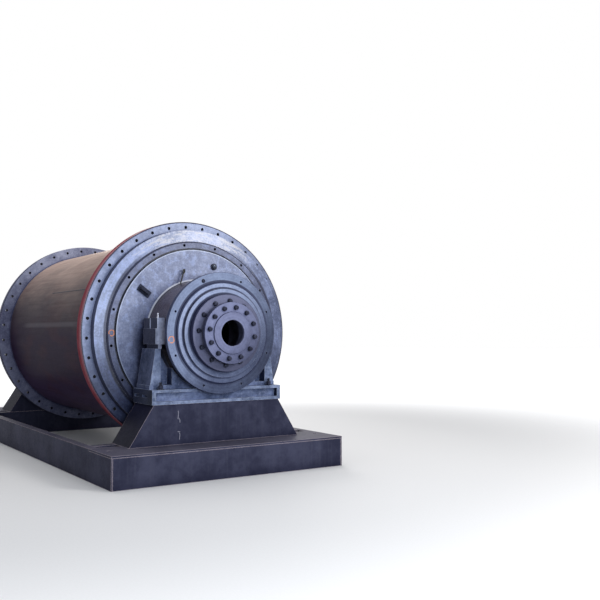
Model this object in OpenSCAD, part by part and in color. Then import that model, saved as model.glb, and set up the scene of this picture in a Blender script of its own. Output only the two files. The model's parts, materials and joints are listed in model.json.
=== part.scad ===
// Ball mill: a bolted drum on two half-open trunnion bearings, over a channel base frame.
// X runs along the drum, Z is up, and the origin is on the floor under the drum's middle.
// Distances called "out" are measured outwards from the front face of a head's flange.

/* [Drum shell] */
// Length of the shell over its two flanges
shell_len = 3250; // [2600:10:3900]
// Outer radius of the shell plate
shell_r = 1065; // [1000:5:1120]
// Thickness of the shell plate
shell_wall = 22; // [14:1:40]
// How far the joint flanges stand out from the shell plate
flange_w = 143; // [130:1:170]
// Thickness of the shell's own flange
shell_flange_t = 65; // [45:1:90]
// Distance from the flanges' rim in to the middle of the joint holes
joint_edge = 58; // [45:1:70]
// Diameter of a joint hole
joint_hole_d = 34; // [24:1:42]
// Number of joint holes in each flange
joint_holes = 36; // [24:1:40]
// Turn of the near flange's hole circle, in degrees
near_joint_turn = -2.6; // [-5:0.1:5]
// Turn of the far flange's hole circle, in degrees
far_joint_turn = 5.2; // [-6:0.1:6]

/* [Heads] */
// Thickness of the head's bolted flange
head_flange_t = 60; // [40:1:80]
// Width of the bolted rim outside the raised part of the head
head_rim_w = 101; // [95:1:125]
// Height of the raised part at its rim
head_ring_h = 92; // [80:1:110]
// Width of the chamfer round the rim's front
head_chamfer_w = 18; // [8:1:19]
// Thickness of that chamfer
head_chamfer_t = 6; // [3:1:12]
// Fillet at the foot of the raised part
head_fillet = 10; // [4:1:20]
// Width of the shallow cone between the raised part's rim and the trunnion
head_cone_w = 122; // [90:1:130]
// Further rise of the shallow cone towards the trunnion
head_cone_rise = 12; // [4:1:20]
// Depth of the seat in the head that the trunnion's flange lies in
head_seat_depth = 35; // [20:1:45]
// Wall of the head casting
head_wall = 58; // [40:1:66]
// Radius of the bore that the trunnion's spigot enters
head_bore_r = 760; // [740:1:800]

/* [Trunnions] */
// Thickness of the trunnion's bolted flange
trunnion_flange_t = 60; // [52:1:66]
// Width of the band at the rim that carries the trunnion bolts
bolt_band_w = 77; // [66:1:86]
// Width of the groove inside the bolt band
groove_w = 12; // [6:1:20]
// Depth of the groove
groove_depth = 12; // [6:1:20]
// How far the middle face stands in front of the bolt band
middle_rise = 15; // [6:1:16]
// Rounding at the middle face's rim
middle_round = 9; // [4:1:12]
// Bevel round the trunnion flange's rim
trunnion_bevel = 16; // [6:1:18]
// Distance from the trunnion flange's rim in to the middle of its bolts
trunnion_edge = 39; // [30:1:45]
// Diameter of a trunnion bolt hole
trunnion_hole_d = 30; // [20:1:36]
// Number of trunnion bolt holes
trunnion_holes = 16; // [8:1:24]
// Turn of the trunnion's hole circle, in degrees
trunnion_turn = -7.9; // [-11:0.1:11]
// Radius of the journal that turns in the bearing
journal_r = 552; // [540:1:556]
// Wall of the journal
journal_wall = 100; // [90:1:120]
// Fillet between the middle face and the journal
journal_fillet = 26; // [10:1:40]
// Length of journal between the bearing and the collar
journal_past = 119; // [80:1:160]

/* [Collar and feed spool] */
// How far the collar stands out from the journal
collar_w = 63; // [60:1:90]
// Thickness of the collar
collar_t = 48; // [40:1:60]
// Depth of the turned seat that the collar sits on
collar_seat_depth = 47; // [30:1:60]
// Distance from the collar's rim in to the middle of its tapped holes
collar_edge = 51; // [40:1:70]
// Diameter of a tapped hole in the collar
collar_hole_d = 24; // [16:1:30]
// Depth of a tapped hole in the collar
collar_hole_depth = 34; // [20:1:38]
// Number of tapped holes in the collar
collar_holes = 8; // [4:1:12]
// Turn of the collar's hole circle, in degrees
collar_turn = 22; // [0:0.5:45]
// How far the end cover reaches over the collar
cover_lap = 10; // [4:1:20]
// Thickness of the end cover at its rim
cover_t = 22; // [16:1:30]
// Bevel round the end cover's rim
cover_bevel = 14; // [4:1:15]
// Width of the end cover's rim outside its raised middle
cover_rim_w = 67; // [50:1:85]
// Height of the raised middle of the end cover
cover_hub_h = 23; // [12:1:35]
// Radius of the hole through the end cover and the spool
spool_bore_r = 190; // [170:1:200]
// Thickness of the spool's wall
spool_wall = 40; // [25:1:50]
// Fillet between the spool's wall and its flanges
spool_fillet = 12; // [5:1:16]
// How far the spool's base flange stands out from its wall
spool_base_w = 158; // [135:1:165]
// Thickness of the spool's base flange
spool_base_t = 58; // [40:1:70]
// Length of the spool between its two flanges
spool_neck_len = 64; // [56:1:110]
// How far the feed flange stands out from the spool's wall
feed_flange_w = 78; // [72:1:100]
// Thickness of each of the two flanges at the spool's mouth
feed_flange_t = 18; // [14:1:26]
// Distance from the feed flange's rim in to its raised face
raised_face_edge = 99; // [80:1:105]
// Height of the raised face
raised_face_h = 12; // [10:1:30]
// Radius of the feed bore
feed_bore_r = 131; // [100:1:160]
// Distance from the base flange's rim in to the middle of its bolts
base_edge = 66; // [35:1:75]
// Turn of the base flange's hole circle, in degrees
base_turn = 4; // [0:0.1:30]
// Distance from the feed flange's rim in to the middle of its bolts
feed_edge = 53; // [38:1:56]
// Turn of the feed flange's hole circle, in degrees
feed_turn = 8.6; // [0:0.1:30]
// Diameter of the bolt holes in the spool's flanges
spool_hole_d = 26; // [18:1:30]
// Number of bolts in each of the spool's flanges
spool_holes = 12; // [6:1:16]
// Bevel on the outer edges of the collar and of the spool's flanges
edge_bevel = 3; // [1:0.5:5]

/* [Lifting pieces on the heads] */
// Angle of the lifting lug from the top of the drum, in degrees
lug_turn = -54; // [-80:1:-30]
// Distance from the middle face's rim in to the middle of the lifting lug
lug_inset = 160; // [120:1:180]
// Length of the lug's base plate
lug_len = 150; // [110:1:160]
// Width of the lug's base plate
lug_base_w = 70; // [40:1:80]
// Thickness of the lug's base plate
lug_base_t = 12; // [8:1:16]
// Length of the lug's ear
lug_ear_len = 105; // [70:1:110]
// Thickness of the lug's ear
lug_ear_t = 20; // [12:1:26]
// How far the lug stands out
lug_out = 48; // [42:1:50]
// Diameter of the hole in the lug's ear
lug_hole_d = 22; // [14:1:24]
// Angle of the eyebolt's foot from the top of the drum, in degrees
eye_turn = -21.5; // [-30:0.5:30]
// Lean of the eyebolt from the radius, in degrees
eye_lean = 38; // [0:1:45]
// Distance from the middle face out to the eyebolt
eye_from_face = 41; // [38:1:44]
// Length of the eyebolt's shank
eye_shank = 128; // [60:1:150]
// Radius of the eyebolt's ring, to the middle of its bar
eye_ring_r = 19; // [12:1:20]
// Turn of the eyebolt's ring round its shank, in degrees
eye_ring_turn = 38; // [0:1:50]
// Diameter of the eyebolt's bar
eye_bar_d = 13; // [8:1:14]
// Angle of the round plug from the top of the drum, in degrees
plug_turn = 16.6; // [5:0.1:40]
// Distance from the middle face's rim in to the middle of the round plug
plug_inset = 146; // [100:1:180]
// Radius of the round plug
plug_r = 36; // [20:1:45]
// Height of the round plug
plug_h = 16; // [10:1:24]
// Bevel round the plug's front
plug_bevel = 7; // [3:1:9]

/* [Bearings] */
// Radial running clearance of the journal
journal_play = 0.3; // [0.1:0.1:1]
// Thickness of the bearing liner
liner_t = 40; // [25:1:50]
// How far the liner is set in from the housing's faces
liner_set_in = 28; // [4:1:30]
// Distance out to the back of the bearing housing
housing_back = 259; // [250:1:280]
// Length of the bearing housing along the drum
housing_len = 322; // [300:1:350]
// Height of the axis above the soleplate's top
bearing_rise = 555; // [550:1:650]
// How far below the axis the housing's columns end
column_drop = 156; // [140:1:180]
// Distance from a side block out to the edge of its column
column_margin = 19; // [8:1:30]
// How far a column's outer edge stands out further at its foot than at its top
column_batter = 57; // [20:1:80]
// Width of a column at its foot
column_w = 115; // [106:1:125]
// Width of the pockets between the columns and the middle block
pocket_w = 121; // [80:1:150]
// Depth of the pockets
pocket_depth = 110; // [60:1:130]
// How far below the axis the middle block's shoulders lie
saddle_drop = 237; // [200:1:260]
// Thickness of the housing's foot
housing_foot_t = 40; // [25:1:60]
// Height of the side blocks above the axis
block_top = 150; // [110:1:180]
// Thickness of a side block
block_t = 80; // [60:1:84]
// Clearance between a side block and the journal
block_gap = 8; // [6:1:14]
// Height of the narrow gap under a side block
block_foot_h = 44; // [30:1:60]
// How far a side block's foot is set in
block_foot_inset = 22; // [10:1:24]
// Thickness of the plate and the rib on a side block's outer side
block_plate_t = 12; // [6:1:16]
// Height of the top of that plate above the axis
block_plate_top = 45; // [20:1:70]
// How far that plate is set in from the block's ends
block_plate_inset = 10; // [4:1:20]
// Width of the rib above the plate
block_rib_w = 16; // [10:1:24]

/* [Soleplates and pedestals] */
// How far the soleplate reaches behind the housing
sole_behind = 44; // [30:1:47]
// How far the soleplate reaches in front of the housing
sole_before = 101; // [80:1:130]
// How far the soleplate's ends stand out from the housing's foot
sole_margin = 17; // [8:1:40]
// Height of the soleplate
sole_h = 145; // [120:1:160]
// Thickness of the soleplate's top edge
sole_top_t = 27; // [18:1:36]
// Thickness of the soleplate's bottom ledge
sole_ledge_t = 30; // [20:1:40]
// Thickness of the soleplate's end plates
sole_end_t = 40; // [25:1:60]
// Depth of the recess along the soleplate's front
sole_recess = 60; // [30:1:80]
// Distance from the soleplate's back to the middle of its first slots
slot_first = 95; // [80:1:140]
// Distance between the slots in the soleplate's ends
slot_pitch = 196; // [150:1:200]
// Height of the slots' middle above the soleplate's foot
slot_rise = 78; // [60:1:90]
// Length of a slot in the soleplate's end
slot_len = 122; // [80:1:125]
// Height of a slot
slot_h = 26; // [18:1:34]
// Depth of a slot
slot_depth = 70; // [40:1:90]
// How far the pedestal is set in under the soleplate at the sides
pedestal_inset = 22; // [5:1:40]
// How far the pedestal is set in under the soleplate at front and back
pedestal_set_back = 10; // [4:1:20]
// How far the pedestal's foot stands out from its top
pedestal_batter = 249; // [180:1:280]
// Height of the pedestal
pedestal_h = 397; // [360:1:430]
// Thickness of the pedestal's plates
pedestal_plate = 20; // [12:1:30]

/* [Base frame] */
// How far the base frame reaches beyond the soleplate
frame_past = 363; // [300:5:450]
// Half width of the base frame
frame_half_w = 1280; // [1240:5:1340]
// Height of the base frame
frame_h = 311; // [280:1:340]
// Width of the side beams' flanges
beam_flange_w = 90; // [70:1:105]
// Thickness of the beams' flanges and of the deck plates
beam_flange_t = 20; // [12:1:26]
// Thickness of the beams' webs
beam_web_t = 14; // [8:1:20]
// Length of a deck plate along the drum
deck_len = 578; // [520:1:600]
// Distance from the frame's end to the anchor holes
anchor_from_end = 343; // [320:1:380]
// Distance from the frame's side to the anchor holes
anchor_from_side = 110; // [106:1:130]
// Diameter of an anchor hole
anchor_hole_d = 42; // [30:1:48]
// Width of a cross beam
cross_beam_w = 110; // [80:1:130]

/* [Hidden] */
$fn = 120;
over = 1;              // how far a cutting shape runs past a face
slip = 0.5;            // clearance of a spigot in its bore
axis_h = frame_h + pedestal_h + sole_h + bearing_rise;
head_x = shell_len / 2 + head_flange_t;
shell_bore_r = shell_r - shell_wall;
flange_r = shell_r + flange_w;
joint_circle_r = flange_r - joint_edge;
head_ring_r = flange_r - head_rim_w;
trunnion_flange_r = head_ring_r - head_cone_w;
trunnion_circle_r = trunnion_flange_r - trunnion_edge;
bolt_band_r = trunnion_flange_r - bolt_band_w;
middle_r = bolt_band_r - groove_w;
cone_top = head_ring_h + head_cone_rise;
seat_out = cone_top - head_seat_depth;
head_inner_out = seat_out - head_wall;
band_out = seat_out + trunnion_flange_t;
middle_out = band_out + middle_rise;
housing_front = housing_back + housing_len;
journal_bore_r = journal_r - journal_wall;
journal_end = housing_front + journal_past;
collar_r = journal_r + collar_w;
collar_seat_r = journal_r - collar_seat_depth;
collar_circle_r = collar_r - collar_edge;
collar_out = journal_end + collar_t;
cover_r = collar_seat_r + cover_lap;
cover_hub_r = cover_r - cover_rim_w;
spool_r = spool_bore_r + spool_wall;
spool_base_r = spool_r + spool_base_w;
base_circle_r = spool_base_r - base_edge;
feed_flange_r = spool_r + feed_flange_w;
feed_circle_r = feed_flange_r - feed_edge;
raised_face_r = feed_flange_r - raised_face_edge;
cover_out = collar_out + cover_t;
hub_out = cover_out + cover_hub_h;
base_out = hub_out + spool_base_t;
spool_out = base_out + spool_neck_len + feed_flange_t;
feed_out = spool_out + feed_flange_t;
liner_in_r = journal_r + journal_play;
liner_out_r = liner_in_r + liner_t;
housing_bore_r = liner_out_r + journal_play;
sole_z = -bearing_rise;
pedestal_z = sole_z - sole_h;
sole_back = housing_back - sole_behind;
sole_len = sole_behind + housing_len + sole_before;
pedestal_back = sole_back + pedestal_set_back;
pedestal_len = sole_len - 2 * pedestal_set_back;
frame_overrun = sole_back + sole_len + frame_past;
frame_end = head_x + frame_overrun;
block_in = journal_r + block_gap;
housing_top_w = block_in + block_t + column_margin;
housing_foot_w = housing_top_w + column_batter;
column_in = housing_foot_w - column_w;
saddle_half_w = column_in - pocket_w;
sole_half_w = housing_foot_w + sole_margin;
pedestal_top_w = sole_half_w - pedestal_inset;
pedestal_foot_w = pedestal_top_w + pedestal_batter;
steel_black = [0.10, 0.11, 0.15];
mill_blue = [0.42, 0.46, 0.56];
shell_brown = [0.16, 0.12, 0.11];
red_oxide = [0.50, 0.16, 0.12];
bright_steel = [0.62, 0.63, 0.66];
bearing_metal = [0.66, 0.55, 0.34];

// Children are drawn from a head's face, on the drum's axis; the far end is the near end's mirror image
module at_end(end) {
    mirror([end == "far" ? 1 : 0, 0, 0]) translate([head_x, 0, axis_h]) children();
}

// Revolves a list of [radius, out] points round the drum's axis
module revolved(points) {
    rotate([0, 90, 0]) rotate_extrude() polygon(points);
}

// Tube round the drum's axis between two distances out
module tube(outer_r, inner_r, from, to) {
    revolved([[inner_r, from], [outer_r, from], [outer_r, to], [inner_r, to]]);
}

// Carries its children to a radius, turned by an angle from the top towards +Y
module at_turn(turn, r, out) {
    rotate([-turn, 0, 0]) translate([out, 0, r]) children();
}

// Points of a disc's outer edge with a bevel at its front, from its back to its front
function bevelled(r, back, front, bevel = edge_bevel) =
    [[r, back], [r, front - bevel], [r - bevel, front]];

// Round holes or pins along the axis, evenly spaced on a circle
module hole_circle(count, circle_r, d, turn, from, to) {
    for (i = [0 : count - 1])
        at_turn(turn + i * 360 / count, circle_r, from)
            rotate([0, 90, 0]) cylinder(d = d, h = to - from, $fn = 32);
}

function joint_turn(end) = end == "far" ? far_joint_turn : near_joint_turn;

// Points of a quarter arc about a centre, between two angles
function arc(centre, r, from, to, steps = 6) =
    [for (i = [0 : steps]) let (a = from + (to - from) * i / steps) centre + r * [cos(a), sin(a)]];

module drum_shell() {
    color(shell_brown) translate([0, 0, axis_h])
        tube(shell_r, shell_bore_r, -shell_len / 2 + shell_flange_t / 2, shell_len / 2 - shell_flange_t / 2);
}

// The flange is stepped inside, so that the shell plate ends in it
module shell_flange(end) {
    joint = -head_flange_t;
    color(red_oxide) at_end(end) difference() {
        revolved([
            [shell_bore_r, joint], [flange_r, joint], [flange_r, joint - shell_flange_t],
            [shell_r, joint - shell_flange_t], [shell_r, joint - shell_flange_t / 2],
            [shell_bore_r, joint - shell_flange_t / 2]
        ]);
        hole_circle(joint_holes, joint_circle_r, joint_hole_d, joint_turn(end),
            joint - shell_flange_t - over, joint + over);
    }
}

module head(end) {
    pocket_r = head_ring_r - head_wall;
    color(mill_blue) at_end(end) difference() {
        revolved(concat(
            [[pocket_r, -head_flange_t], [flange_r, -head_flange_t],
             [flange_r, -head_chamfer_t], [flange_r - head_chamfer_w, 0]],
            arc([head_ring_r + head_fillet, head_fillet], head_fillet, 270, 180),
            [[head_ring_r, head_ring_h], [trunnion_flange_r + slip, cone_top],
             [trunnion_flange_r + slip, seat_out], [head_bore_r, seat_out],
             [head_bore_r, head_inner_out], [pocket_r, head_inner_out]]
        ));
        hole_circle(joint_holes, joint_circle_r, joint_hole_d, joint_turn(end), -head_flange_t - over, over);
        hole_circle(trunnion_holes, trunnion_circle_r, trunnion_hole_d, trunnion_turn,
            head_inner_out - over, seat_out + over);
    }
}

// Flange, spigot, flat middle face and journal in one casting
module trunnion(end) {
    spigot_r = head_bore_r - slip;
    rim = [middle_r - middle_round, middle_out - middle_round];
    root = [journal_r + journal_fillet, middle_out + journal_fillet];
    color(mill_blue) at_end(end) difference() {
        revolved(concat(
            [[spigot_r, seat_out]],
            bevelled(trunnion_flange_r, seat_out, band_out, trunnion_bevel),
            [[bolt_band_r, band_out], [bolt_band_r, band_out - groove_depth],
             [middle_r, band_out - groove_depth]],
            arc(rim, middle_round, 0, 90),
            arc(root, journal_fillet, 270, 180),
            [[journal_r, journal_end], [collar_seat_r, journal_end], [collar_seat_r, collar_out],
             [journal_bore_r, collar_out], [journal_bore_r, seat_out],
             [head_bore_r - head_wall, head_inner_out], [spigot_r, head_inner_out]]
        ));
        hole_circle(trunnion_holes, trunnion_circle_r, trunnion_hole_d, trunnion_turn,
            seat_out - over, band_out + over);
    }
}

module collar(end) {
    color(mill_blue) at_end(end) difference() {
        revolved(concat(
            [[collar_seat_r, journal_end]],
            bevelled(collar_r, journal_end, collar_out),
            [[collar_seat_r, collar_out]]
        ));
        hole_circle(collar_holes, collar_circle_r, collar_hole_d, collar_turn,
            collar_out - collar_hole_depth, collar_out + over);
    }
}

module end_cover(end) {
    color(mill_blue) at_end(end) difference() {
        revolved(concat(
            [[spool_bore_r, collar_out]],
            bevelled(cover_r, collar_out, cover_out, cover_bevel),
            [[cover_hub_r, cover_out], [cover_hub_r, hub_out], [spool_bore_r, hub_out]]
        ));
        hole_circle(spool_holes, base_circle_r, spool_hole_d, base_turn, cover_out, hub_out + over);
    }
}

// Neck between a base flange and a mouth flange, with a fillet at each
module spool(end) {
    mouth = base_out + spool_neck_len;
    fillet_r = spool_r + spool_fillet;
    color(mill_blue) at_end(end) difference() {
        revolved(concat(
            [[spool_bore_r, hub_out]],
            bevelled(spool_base_r, hub_out, base_out),
            arc([fillet_r, base_out + spool_fillet], spool_fillet, 270, 180),
            arc([fillet_r, mouth - spool_fillet], spool_fillet, 180, 90),
            [[feed_flange_r, mouth], [feed_flange_r, spool_out], [spool_bore_r, spool_out]]
        ));
        hole_circle(spool_holes, base_circle_r, spool_hole_d, base_turn, hub_out - over, base_out + over);
        hole_circle(spool_holes, feed_circle_r, spool_hole_d, feed_turn, mouth - over, spool_out + over);
    }
}

module feed_flange(end) {
    face = feed_out + raised_face_h;
    color(mill_blue) at_end(end) difference() {
        revolved(concat(
            [[feed_bore_r, spool_out]],
            bevelled(feed_flange_r, spool_out, feed_out),
            [[raised_face_r, feed_out]],
            bevelled(raised_face_r, feed_out, face),
            [[feed_bore_r, face]]
        ));
        hole_circle(spool_holes, feed_circle_r, spool_hole_d, feed_turn, spool_out - over, feed_out + over);
    }
}

// Base plate on the trunnion's middle face, with a drilled ear standing out of it
module lifting_lug(end) {
    ear_out = lug_out - lug_base_t;
    color(steel_black) at_end(end) at_turn(lug_turn, middle_r - lug_inset, middle_out) difference() {
        union() {
            translate([0, -lug_base_w / 2, -lug_len / 2]) cube([lug_base_t, lug_base_w, lug_len]);
            translate([lug_base_t, -lug_ear_t / 2, -lug_ear_len / 2]) cube([ear_out, lug_ear_t, lug_ear_len]);
        }
        translate([lug_base_t + ear_out / 2, -lug_ear_t, 0])
            rotate([-90, 0, 0]) cylinder(d = lug_hole_d, h = 2 * lug_ear_t, $fn = 32);
    }
}

// Ring on a shank that stands on the journal's root and leans over
module eyebolt(end) {
    foot = eye_bar_d / 2;
    color(steel_black) at_end(end) difference() {
        at_turn(eye_turn, journal_r, middle_out + eye_from_face) rotate([-eye_lean, 0, 0]) union() {
            translate([0, 0, -foot]) cylinder(d = eye_bar_d, h = eye_shank + foot, $fn = 32);
            translate([0, 0, eye_shank + eye_ring_r]) rotate([90, 0, 90 + eye_ring_turn])
                rotate_extrude($fn = 48) translate([eye_ring_r, 0]) circle(d = eye_bar_d, $fn = 24);
        }
        rotate([0, 90, 0]) cylinder(r = journal_r, h = journal_end);
    }
}

module round_plug(end) {
    front = middle_out + plug_h;
    color(bright_steel) at_end(end) at_turn(plug_turn, middle_r - plug_inset, 0) revolved([
        [0, middle_out], [plug_r, middle_out], [plug_r, front - plug_bevel],
        [plug_r - plug_bevel, front], [0, front]
    ]);
}

// Half shell below the axis that carries the journal
module liner(end) {
    back = housing_back + liner_set_in;
    color(bearing_metal) at_end(end) intersection() {
        tube(liner_out_r, liner_in_r, back, back + housing_len - 2 * liner_set_in);
        translate([housing_back, -2 * liner_out_r, -2 * liner_out_r])
            cube([housing_len, 4 * liner_out_r, 2 * liner_out_r - column_drop - 2 * journal_play]);
    }
}

// Foot, columns and middle block; the pockets between them have a set-back web
module housing(end) {
    web_half_w = (column_in + housing_top_w) / 2;
    keel_z = pedestal_z + sole_ledge_t;
    shoulder_z = -saddle_drop;
    color(mill_blue) at_end(end) translate([housing_back, 0, 0]) difference() {
        union() {
            across(housing_len) polygon([
                [-housing_foot_w, sole_z], [housing_foot_w, sole_z],
                [housing_foot_w, sole_z + housing_foot_t], [-housing_foot_w, sole_z + housing_foot_t]
            ]);
            for (side = [-1, 1]) across(housing_len) polygon([
                [side * housing_foot_w, sole_z], [side * housing_top_w, -column_drop],
                [side * column_in, -column_drop], [side * column_in, sole_z]
            ]);
            across(housing_len) polygon([
                [-saddle_half_w, keel_z], [saddle_half_w, keel_z],
                [saddle_half_w, shoulder_z], [-saddle_half_w, shoulder_z]
            ]);
            translate([pocket_depth, 0, 0]) across(housing_len - 2 * pocket_depth) polygon([
                [-web_half_w, sole_z], [web_half_w, sole_z],
                [web_half_w, -column_drop], [-web_half_w, -column_drop]
            ]);
        }
        translate([-over, 0, 0]) rotate([0, 90, 0]) cylinder(r = housing_bore_r, h = housing_len + 2 * over);
    }
}

// Extrudes a profile of [y, z] points along the drum
module across(length) {
    rotate([90, 0, 90]) linear_extrude(length) children();
}

// Block beside the journal, on a narrower foot, with a plate and a rib on its outer side;
// side is -1 on the left and 1 on the right
module side_block(end, side) {
    foot_z = -column_drop;
    body_z = foot_z + block_foot_h;
    outer = block_in + block_t;
    plate_len = housing_len - 2 * block_plate_inset;
    color(bright_steel) at_end(end) translate([housing_back, 0, 0]) mirror([0, side < 0 ? 1 : 0, 0]) union() {
        translate([0, block_in, body_z]) cube([housing_len, block_t, block_top - body_z]);
        translate([block_foot_inset, block_in + block_foot_inset, foot_z])
            cube([housing_len - 2 * block_foot_inset, block_t - 2 * block_foot_inset, block_foot_h]);
        translate([block_plate_inset, outer, body_z])
            cube([plate_len, block_plate_t, block_plate_top - body_z]);
        translate([(housing_len - block_rib_w) / 2, outer, block_plate_top])
            cube([block_rib_w, block_plate_t, block_top - block_plate_top]);
    }
}

// Top edge, bottom ledge and end plates in front of a set-back core, with two slots in each end;
// the housing's middle block stands in an opening down to the ledge
module soleplate(end) {
    recess_h = sole_h - sole_top_t - sole_ledge_t;
    opening_half_w = saddle_half_w + slip;
    color(steel_black) at_end(end) translate([sole_back, -sole_half_w, pedestal_z]) difference() {
        cube([sole_len, 2 * sole_half_w, sole_h]);
        translate([sole_len - sole_recess, sole_end_t, sole_ledge_t])
            cube([sole_recess + over, 2 * sole_half_w - 2 * sole_end_t, recess_h]);
        translate([housing_back - sole_back - slip, sole_half_w - opening_half_w, sole_ledge_t])
            cube([housing_len + 2 * slip, 2 * opening_half_w, sole_h]);
        for (i = [0, 1], side = [-over, 2 * sole_half_w - slot_depth])
            translate([slot_first + i * slot_pitch - slot_len / 2, side, slot_rise - slot_h / 2])
                cube([slot_len, slot_depth + over, slot_h]);
    }
}

// Box of sloping plates, open underneath
module pedestal(end) {
    slope = (pedestal_foot_w - pedestal_top_w) / pedestal_h;
    foot_z = pedestal_z - pedestal_h;
    inner_top = pedestal_top_w + slope * pedestal_plate - pedestal_plate;
    inner_foot = pedestal_foot_w + slope * over - pedestal_plate;
    color(steel_black) at_end(end) translate([pedestal_back, 0, 0]) difference() {
        across(pedestal_len) polygon([
            [-pedestal_foot_w, foot_z], [pedestal_foot_w, foot_z],
            [pedestal_top_w, pedestal_z], [-pedestal_top_w, pedestal_z]
        ]);
        translate([pedestal_plate, 0, 0]) across(pedestal_len - 2 * pedestal_plate) polygon([
            [-inner_foot, foot_z - over], [inner_foot, foot_z - over],
            [inner_top, pedestal_z - pedestal_plate], [-inner_top, pedestal_z - pedestal_plate]
        ]);
    }
}

// Channel profile with its back at zero and its flanges towards +Y
module channel(width, height, web, flange) {
    difference() {
        square([width, height]);
        translate([web, flange]) square([width, height - 2 * flange]);
    }
}

// Channel under the back of the pedestal, between the side beams
module cross_beam(end) {
    length = 2 * (frame_half_w - beam_flange_w);
    web_length = 2 * (frame_half_w - beam_web_t);
    color(steel_black) at_end(end) translate([pedestal_back, 0, -axis_h]) union() {
        translate([0, length / 2, 0]) rotate([90, 0, 0])
            linear_extrude(length) channel(cross_beam_w, frame_h, beam_web_t, beam_flange_t);
        translate([0, -web_length / 2, beam_flange_t])
            cube([beam_web_t, web_length, frame_h - 2 * beam_flange_t]);
    }
}

// Plate that closes the top of the frame from its end to under the pedestal
module deck(end) {
    color(steel_black) at_end(end) translate([frame_overrun - deck_len, 0, -axis_h + frame_h - beam_flange_t])
        difference() {
            translate([0, -frame_half_w, 0]) cube([deck_len, 2 * frame_half_w, beam_flange_t]);
            for (side = [-1, 1])
                translate([deck_len - anchor_from_end, side * (frame_half_w - anchor_from_side), -over])
                    cylinder(d = anchor_hole_d, h = beam_flange_t + 2 * over, $fn = 32);
        }
}

// Web and bottom flange across the frame's end, under the deck plate
module end_beam(end) {
    length = 2 * (frame_half_w - beam_web_t);
    color(steel_black) at_end(end) translate([frame_overrun, 0, -axis_h]) union() {
        translate([-beam_web_t, -length / 2, 0]) cube([beam_web_t, length, frame_h - beam_flange_t]);
        translate([-beam_flange_w, -length / 2, 0]) cube([beam_flange_w - beam_web_t, length, beam_flange_t]);
    }
}

// Channel along the drum with its flat back outwards; side is -1 on the left and 1 on the right
module side_beam(side) {
    deck_start = frame_end - deck_len;
    bottom_end = frame_end - beam_flange_w;
    outer = side > 0 ? frame_half_w : -frame_half_w;
    web_y = side > 0 ? outer - beam_web_t : outer;
    flange_y = side > 0 ? outer - beam_flange_w : outer;
    color(steel_black) union() {
        translate([-frame_end, web_y, 0]) cube([2 * frame_end, beam_web_t, frame_h - beam_flange_t]);
        translate([-bottom_end, flange_y, 0]) cube([2 * bottom_end, beam_flange_w, beam_flange_t]);
        translate([-deck_start, flange_y, frame_h - beam_flange_t])
            cube([2 * deck_start, beam_flange_w, beam_flange_t]);
    }
}

drum_shell();
shell_flange("near");  // near_shell_flange
shell_flange("far");  // far_shell_flange
head("near");  // near_head
head("far");  // far_head
trunnion("near");  // near_trunnion
trunnion("far");  // far_trunnion
collar("near");  // near_collar
collar("far");  // far_collar
end_cover("near");  // near_end_cover
end_cover("far");  // far_end_cover
spool("near");  // near_spool
spool("far");  // far_spool
feed_flange("near");  // near_feed_flange
feed_flange("far");  // far_feed_flange
lifting_lug("near");  // near_lifting_lug
lifting_lug("far");  // far_lifting_lug
eyebolt("near");  // near_eyebolt
eyebolt("far");  // far_eyebolt
round_plug("near");  // near_round_plug
round_plug("far");  // far_round_plug
liner("near");  // near_liner
liner("far");  // far_liner
housing("near");  // near_housing
housing("far");  // far_housing
side_block("near", -1);  // near_left_block
side_block("near", 1);  // near_right_block
side_block("far", -1);  // far_left_block
side_block("far", 1);  // far_right_block
soleplate("near");  // near_soleplate
soleplate("far");  // far_soleplate
pedestal("near");  // near_pedestal
pedestal("far");  // far_pedestal
cross_beam("near");  // near_cross_beam
cross_beam("far");  // far_cross_beam
deck("near");  // near_deck
deck("far");  // far_deck
end_beam("near");  // near_end_beam
end_beam("far");  // far_end_beam
side_beam(-1);  // left_beam
side_beam(1);  // right_beam
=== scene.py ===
"""Finish of a ball mill: bolts, welds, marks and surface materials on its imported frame.

Lengths are in metres. X runs along the drum, Z is up. "out" is the distance from the middle of the
drum along its axis, the same at the near and the far end, and a turn is an angle from the top of
the drum towards +Y, in degrees.
"""

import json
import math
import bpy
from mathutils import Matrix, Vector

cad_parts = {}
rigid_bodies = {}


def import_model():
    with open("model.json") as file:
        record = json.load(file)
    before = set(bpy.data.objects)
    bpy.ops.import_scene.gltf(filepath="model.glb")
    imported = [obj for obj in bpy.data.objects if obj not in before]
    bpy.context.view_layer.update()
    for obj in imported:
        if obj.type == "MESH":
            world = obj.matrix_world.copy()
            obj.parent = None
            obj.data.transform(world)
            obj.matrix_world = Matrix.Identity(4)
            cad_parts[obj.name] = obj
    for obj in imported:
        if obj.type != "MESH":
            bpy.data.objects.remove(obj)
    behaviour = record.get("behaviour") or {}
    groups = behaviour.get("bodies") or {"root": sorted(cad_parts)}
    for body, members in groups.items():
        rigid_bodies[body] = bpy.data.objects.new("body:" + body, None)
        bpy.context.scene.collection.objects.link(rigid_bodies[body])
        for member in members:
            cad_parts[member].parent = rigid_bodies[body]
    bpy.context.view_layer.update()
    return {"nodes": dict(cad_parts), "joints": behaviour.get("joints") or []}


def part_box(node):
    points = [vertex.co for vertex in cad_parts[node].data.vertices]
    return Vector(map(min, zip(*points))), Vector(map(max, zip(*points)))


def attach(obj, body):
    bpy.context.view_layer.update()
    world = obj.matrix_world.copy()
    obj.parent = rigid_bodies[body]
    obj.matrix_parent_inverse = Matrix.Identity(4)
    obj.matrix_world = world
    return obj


bl_info = {
    "name": "Ball mill finish",
    "version": (1, 0, 0),
    "blender": (4, 5, 0),
    "location": "View3D > Sidebar > Mill",
    "description": "Dresses the frame of a ball mill with bolts, welds, marks and finishes",
    "category": "Object",
}

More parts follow.
